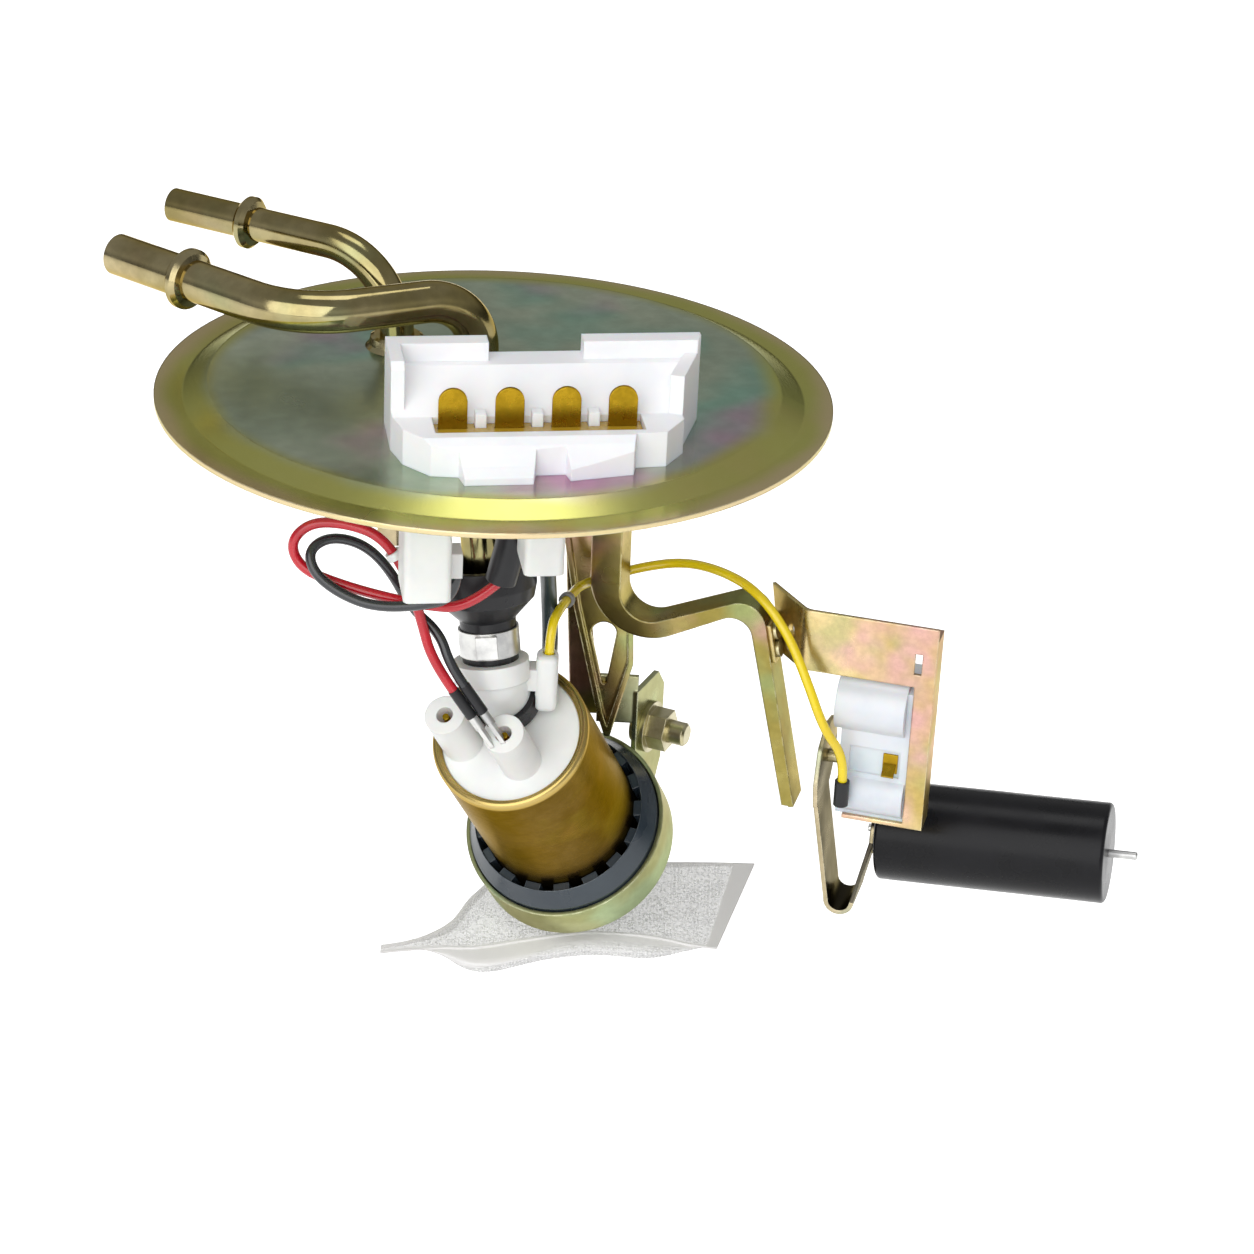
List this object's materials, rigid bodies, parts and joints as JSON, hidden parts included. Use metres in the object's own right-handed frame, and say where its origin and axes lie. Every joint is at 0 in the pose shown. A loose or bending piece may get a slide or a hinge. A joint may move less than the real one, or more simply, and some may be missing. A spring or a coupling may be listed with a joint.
{
  "type": "fuel pump module",
  "caption": "In-tank fuel pump module: round flange with two bent tubes and a connector, hanging pump in a cradle, inlet filter, and level sender with a swinging cylindrical float.",
  "frame": {"origin": "centre of the flange rim's seat face", "axes": "+Z out of the tank, +X from the pump towards the float's side, +Y away from the connector's mouth"},
  "size_m": [0.2513, 0.155, 0.187],
  "materials": {
    "zinc_yellow": "iridescent yellow zinc plate",
    "tube_gold": "polished, yellow plated",
    "nylon_white": "satin, slightly translucent",
    "sealant_amber": "clear amber",
    "blade_brass": "satin",
    "shell_gold": "glossy, yellow plated",
    "rubber_black": "satin",
    "isolator_grey": "matte",
    "steel": "satin",
    "iron_core": "machined",
    "ferrite": "matte",
    "copper": "satin",
    "float_black": "satin",
    "card_dark": "printed",
    "mesh_white": "woven",
    "wire_red": "gloss",
    "wire_black": "gloss",
    "wire_yellow": "gloss",
    "sleeve_dark": "matte",
    "tie_grey": "matte"
  },
  "bodies": {
    "module": {"adapter_band": "rubber_black", "adapter_buckle": "steel", "black_wire": "wire_black", "clamp_bolt": "steel", "clamp_nut": "steel", "connector_housing": "nylon_white", "connector_lower_left": "nylon_white", "connector_lower_right": "nylon_white", "coupler_clamp": "steel", "cradle_bracket": "zinc_yellow", "cradle_cup": "zinc_yellow", "filter_sock": "mesh_white", "flange_plate": "zinc_yellow", "grey_tie": "tie_grey", "hanger_strap": "zinc_yellow", "hose_coupler": "rubber_black", "isolator_ring": "isolator_grey", "outlet_adapter": "nylon_white", "pump_brushes": "ferrite", "pump_chamber": "card_dark", "pump_end_cap": "nylon_white", "pump_inlet_cover": "nylon_white", "pump_magnets": "ferrite", "pump_shell": "shell_gold", "pump_terminal_pins": "blade_brass", "rear_brace": "zinc_yellow", "red_wire": "wire_red", "resistor_card": "card_dark", "return_tube": "tube_gold", "return_tube_collar": "tube_gold", "sender_arm": "zinc_yellow", "sender_body": "nylon_white", "sender_contact": "blade_brass", "sender_frame": "zinc_yellow", "sender_harness": "sleeve_dark", "sender_rivets": "steel", "sock_neck": "nylon_white", "supply_tube": "tube_gold", "supply_tube_collar": "tube_gold", "terminal_blades": "blade_brass", "terminal_sealant": "sealant_amber", "white_tie": "nylon_white", "wire_boots": "rubber_black", "wire_sleeve": "rubber_black", "wire_terminals": "steel", "yellow_end": "rubber_black", "yellow_wire": "wire_yellow"},
    "pump_rotor": {"pump_armature": "iron_core", "pump_shaft": "steel", "pump_commutator": "copper", "pump_impeller": "card_dark"},
    "float_lever": {"float_arm": "zinc_yellow", "sender_pivot": "steel", "sender_wiper": "blade_brass", "float_pin": "steel"},
    "float_cylinder": {"float": "float_black"}
  },
  "joints": [
    {"name": "pump_rotor_spin", "type": "hinge", "parent": "module", "child": "pump_rotor", "pos_m": [0.0063, -0.014, -0.08], "axis": [-0.2496, -0.589, 0.7687], "continuous": true},
    {"name": "float_lever_swing", "type": "hinge", "parent": "module", "child": "float_lever", "pos_m": [0.07569, 0.01479, -0.096], "axis": [0.9703, -0.2419, 0], "range_deg": [-5, 80]},
    {"name": "float_spin", "type": "hinge", "parent": "float_lever", "child": "float_cylinder", "pos_m": [0.09926, 0.02499, -0.1228], "axis": [0.9679, -0.2413, 0.0698], "continuous": true}
  ]
}
